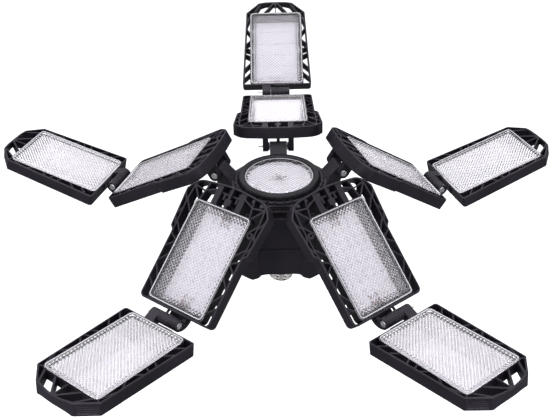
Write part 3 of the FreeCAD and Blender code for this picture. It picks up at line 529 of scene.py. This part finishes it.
def tube(bm, pts, r, mat, n=10):
    """A short lead along points, its ends closed."""
    pts = [Vector(p) for p in pts]
    loops = []
    for i, p in enumerate(pts):
        d = (pts[min(i + 1, len(pts) - 1)] - pts[max(i - 1, 0)]).normalized()
        x = d.cross(Vector((0, 0.31, 0.95))).normalized()
        y = d.cross(x)
        loops.append([bm.verts.new(p + (x * cos(2 * pi * k / n) + y * sin(2 * pi * k / n)) * r) for k in range(n)])
    faces = [bm.faces.new(loops[0]), bm.faces.new(loops[-1][::-1])]
    for a, b in zip(loops, loops[1:]):
        for k in range(n):
            faces.append(bm.faces.new((a[k], a[(k + 1) % n], b[(k + 1) % n], b[k])))
    for f in faces:
        f.material_index = mat
        f.smooth = True


def arc_points(p0, p1, p2, n=8):
    """A smooth bend from p0 to p2, drawn towards p1."""
    p0, p1, p2 = Vector(p0), Vector(p1), Vector(p2)
    return [p0 * (1 - t) ** 2 + p1 * 2 * t * (1 - t) + p2 * t * t for t in (i / n for i in range(n + 1))]


def lead_ends(bm, u_wall, way):
    """Two leads come up round the board's end, lie on it and end in solder."""
    for v, mat, reach, lean in ((-3.0, 4, 9.5, -1.2), (-0.2, 5, 8.0, 0.3), (3.0, 4, 9.0, 1.4)):
        a = Vector((u_wall, v, -8.2))
        top = Vector((u_wall + way * 2.6, v, -5.6))
        end = Vector((u_wall + way * reach, v + lean, -6.75))
        pts = arc_points(a, (u_wall, v, -5.7), top, 5)[:-1] + arc_points(top, top + Vector((way * 3.4, 0, 0.1)), end, 6)
        tube(bm, pts, 0.62, mat)
        dome(bm, end.x + way * 0.5, end.y, -7.12, 1.25, 0.75, 3)


def panel_board(name, place, body, node, both):
    bm = bmesh.new()
    box(bm, 4.0, 96.5, -27.6, 27.6, -8.6, -7.1, 0, 0.15)
    for u in LED_U:
        for v in LED_V:
            for s in (-1, 1):
                chip(bm, u, s * v, -7.1)
    lead_ends(bm, 3.0, 1)
    if both:
        lead_ends(bm, 97.5, -1)
    return keep(bm, name, [MATS["led_board"], CHIP, PHOSPHOR, SOLDER, RED, BLACK], place, body, [node])


ARMS = (("back", 90.0, 9.8, 35.9), ("left", 162.0, 27.6, 15.1), ("front_left", 234.0, 39.9, 9.4),
        ("front_right", 306.0, 42.2, 9.2), ("right", 18.0, 33.3, 16.0))


def place_of(o, u, w):
    """Matrix from a panel's own frame in millimetres (u outward, v across, w out of the lens) to the row frame."""
    v = w.cross(u)
    m = Matrix((u, v, w)).transposed().to_4x4()
    m.translation = o
    return Matrix.Scale(MM, 4) @ m


for name, az, fall, rise in ARMS:
    a, s, e = radians(az), radians(fall), radians(rise)
    r, z = Vector((cos(a), sin(a), 0)), Vector((0, 0, 1))
    u1, w1 = r * cos(s) - z * sin(s), r * sin(s) + z * cos(s)
    h1 = r * 62.84 + z * 102.84
    o1 = h1 + u1 * 10.91 + w1 * 24.11
    h2 = o1 + u1 * 111.93 + w1 * 0.87
    u2, w2 = r * cos(e) + z * sin(e), -r * sin(e) + z * cos(e)
    o2 = h2 + u2 * 11.19 + w2 * 0.47
    for part, o, u, w in (("inner", o1, u1, w1), ("outer", o2, u2, w2)):
        body, place = "%s_%s" % (part, name), place_of(o, u, w)
        panel_lens("%s_prism_lens_%s" % (part, name), place, body, "%s_lens_%s" % (part, name))
        panel_board("%s_lit_board_%s" % (part, name), place, body, "%s_led_board_%s" % (part, name),
                    part == "inner")

# ---------------------------------------------------------------- centre lens

HUB = Matrix.Scale(MM, 4) @ Matrix.Translation((0, 0, Z_LENS))


def hub_lens():
    """Round lens: a flat outer face with a raised bead round it, and the prisms on its inner face."""
    bm = bmesh.new()
    R = 32.6
    field = prism_field(bm, 34, 34, 2.0, 2.0, 0.0, 0.0, -2.60, -1.68, -1.50, -1.85, 0.84,
                        inside=lambda x, y: hypot(x, y) < R,
                        snap=lambda x, y: (x * R / hypot(x, y), y * R / hypot(x, y)))
    rings = [circle(bm, r, w) for r, w in (
        (8.0, 0.30), (20.0, 0.28), (32.9, 0.18), (33.05, 0.27), (33.2, 0.30), (33.4, 0.30), (33.8, 0.0), (33.8, -0.3),
        (35.7, -0.3), (35.7, -1.85), (33.0, -1.85))]
    bm.faces.new(rings[0])
    for i, (a, b) in enumerate(zip(rings, rings[1:])):
        n = len(bm.faces)
        bridge(bm, a, b)
        bm.faces.ensure_lookup_table()
        for f in bm.faces[n:]:
            f.material_index = 1 if i in (2, 3, 4) else 0
    fill_between(bm, rings[-1], field)
    for k in range(6):
        n = len(bm.verts)
        box(bm, 32.5, 33.2, -2.2, 2.2, -5.6, -1.87, cut=0.12)
        bm.verts.ensure_lookup_table()
        turn = Matrix.Rotation(radians(60 * k + 18), 4, "Z")
        for v in bm.verts[n:]:
            v.co = turn @ v.co
    return keep(bm, "centre_prism_lens", [MATS["lens"], RIM, VALLEY], HUB, "hub", ["hub_lens"])


def hub_board():
    bm = bmesh.new()
    rings = [circle(bm, r, w) for r, w in ((2.4, -9.6), (2.4, -8.0), (32.65, -8.0), (32.8, -8.15), (32.8, -9.6))]
    for a, b in zip(rings, rings[1:]):
        bridge(bm, a, b)
    bridge(bm, rings[-1], rings[0])
    for rad, count in ((10.5, 6), (20.5, 12)):
        for i in range(count):
            n = len(bm.verts)
            chip(bm, 0, 0, -8.0)
            bm.verts.ensure_lookup_table()
            turn = Matrix.Rotation(2 * pi * i / count, 4, "Z") @ Matrix.Translation((rad, 0, 0))
            for v in bm.verts[n:]:
                v.co = turn @ v.co
    for a in (25, 95, 150, 205, 270, 330):
        c, s = cos(radians(a)), sin(radians(a))
        tube(bm, arc_points((c * 1.4, s * 1.4, -9.5), (c * 1.9, s * 1.9, -4.4), (c * 7.2, s * 7.2, -7.2), 8), 0.85, 5)
        dome(bm, c * 8.1, s * 8.1, -8.02, 1.2, 0.8, 3)
    return keep(bm, "centre_lit_board", [MATS["led_board"], CHIP, PHOSPHOR, SOLDER, RED, BLACK], HUB, "hub",
                ["hub_led_board"])


hub_lens()
hub_board()

# ---------------------------------------------------------------- lamp cap


def lamp_cap():
    """Rolled sheet-metal cap: plain collar, helical thread, rolled end. Outer skin, rolled end and inner skin."""
    bm = bmesh.new()
    n, pitch, depth, wall = 96, 3.63, 1.24, 0.38
    zs = [2.0 - 0.25 * i for i in range(int((20.55 + 2.0) / 0.25) + 1)]
    out, inn = [], []
    for zz in zs:
        lo, li = [], []
        for i in range(n):
            th = 2 * pi * i / n
            turn = (zz + 2.4) / pitch + th / (2 * pi)
            fade = min(max((-2.2 - zz) / 1.2, 0.0), 1.0) * min(max((zz + 20.6) / 1.0, 0.0), 1.0)
            d = fade * depth * 0.5 * (1 - cos(2 * pi * turn)) * 1.0
            end = max(0.0, (-19.6 - zz)) * 0.9
            rr = 13.1 - d - end
            lo.append(bm.verts.new((rr * cos(th), rr * sin(th), zz)))
            li.append(bm.verts.new(((rr - wall) * cos(th), (rr - wall) * sin(th), zz)))
        out.append(lo)
        inn.append(li)
    for a, b in zip(out, out[1:]):
        bridge(bm, a, b)
    for a, b in zip(inn, inn[1:]):
        bridge(bm, b, a)
    bridge(bm, inn[0], out[0])
    last_o, last_i = out[-1], inn[-1]
    for r, w in ((11.9, -21.0), (11.2, -21.5), (10.2, -21.9), (9.0, -22.1), (7.8, -22.2)):
        nxt_o = [bm.verts.new((r * cos(2 * pi * i / n), r * sin(2 * pi * i / n), w)) for i in range(n)]
        nxt_i = [bm.verts.new(((r - 0.1) * cos(2 * pi * i / n), (r - 0.1) * sin(2 * pi * i / n), w + wall)) for i in range(n)]
        bridge(bm, last_o, nxt_o)
        bridge(bm, nxt_i, last_i)
        last_o, last_i = nxt_o, nxt_i
    bridge(bm, last_o, last_i)
    return keep(bm, "threaded_cap", [MATS["cap_shell"]], Matrix.Scale(MM, 4), "hub", ["screw_shell"], 40)


lamp_cap()

# ---------------------------------------------------------------- floor, world and lamps


def floor():
    bm = bmesh.new()
    n, size, z = 24, 30.0, -1.7
    vs = [[bm.verts.new(((i / n - 0.5) * size, (j / n - 0.5) * size + 2.0, z)) for j in range(n + 1)] for i in range(n + 1)]
    for i in range(n):
        for j in range(n):
            bm.faces.new((vs[i][j], vs[i + 1][j], vs[i + 1][j + 1], vs[i][j + 1]))
    me = bpy.data.meshes.new("floor")
    bm.to_mesh(me)
    bm.free()
    ob = bpy.data.objects.new("floor", me)
    scene.collection.objects.link(ob)
    m = Mat("floor_paper", Specular_IOR_Level=0.1)
    m.put(m.b, "Base Color", m.mix(m.noise(3, 3), (0.95, 0.95, 0.95), (0.97, 0.97, 0.97)))
    m.put(m.b, "Roughness", m.span(m.noise(40), 0.3, 0.7, 0.8, 0.95))
    me.materials.append(m.m)
    ob.visible_glossy = False
    ob.visible_diffuse = False


floor()

world = bpy.data.worlds.new("studio")
scene.world = world
world.use_nodes = True
t = world.node_tree
bg = t.nodes["Background"]
tc = t.nodes.new("ShaderNodeTexCoord")
dot = t.nodes.new("ShaderNodeVectorMath")
dot.operation = "DOT_PRODUCT"
dot.inputs[1].default_value = Vector((0.0, 0.10, 0.995))
mr = t.nodes.new("ShaderNodeMapRange")
ramp = t.nodes.new("ShaderNodeValToRGB")
t.links.new(tc.outputs["Generated"], dot.inputs[0])
t.links.new(dot.outputs["Value"], mr.inputs[0])
mr.inputs[1].default_value, mr.inputs[2].default_value = -1.0, 1.0
t.links.new(mr.outputs[0], ramp.inputs[0])
cr = ramp.color_ramp
cr.elements[0].position, cr.elements[0].color = 0.0, (0.17, 0.17, 0.18, 1)
cr.elements[1].position, cr.elements[1].color = 1.0, (1.40, 1.39, 1.43, 1)
for p, c in ((0.36, 0.17), (0.50, 0.28), (0.75, 0.62), (0.93, 1.20)):
    e = cr.elements.new(p)
    e.color = (c, c * 0.99, c * 1.02, 1)
t.links.new(ramp.outputs[0], bg.inputs[0])
bg.inputs[1].default_value = 1.47
# the camera itself sees plain white past the floor's edge, as in the photo
plain = t.nodes.new("ShaderNodeBackground")
plain.inputs[0].default_value = (1, 1, 1, 1)
seen = t.nodes.new("ShaderNodeLightPath")
pick = t.nodes.new("ShaderNodeMixShader")
t.links.new(seen.outputs["Is Camera Ray"], pick.inputs[0])
t.links.new(bg.outputs[0], pick.inputs[1])
t.links.new(plain.outputs[0], pick.inputs[2])
t.links.new(pick.outputs[0], t.nodes["World Output"].inputs["Surface"])


def area(name, at, to, size, watts, tint=(1, 1, 1)):
    L = bpy.data.lights.new(name, "AREA")
    L.shape = "DISK"
    L.size, L.energy, L.color = size, watts, tint
    ob = bpy.data.objects.new(name, L)
    at, to = Vector(at), Vector(to)
    m = (at - to).to_track_quat("Z", "Y").to_matrix().to_4x4()
    m.translation = at
    ob.matrix_world = m
    ob.visible_camera = False
    scene.collection.objects.link(ob)


area("top", (-0.3, -0.2, 2.2), (0, 0, 0.1), 2.6, 30)
area("front_left", (-0.66, -0.92, 0.20), (-0.15, -0.15, 0.08), 1.0, 5.2)
area("front_right", (0.66, -0.92, 0.20), (0.15, -0.15, 0.08), 1.0, 5.2)
scene.view_settings.view_transform = "Standard"
scene.view_settings.look = "None"
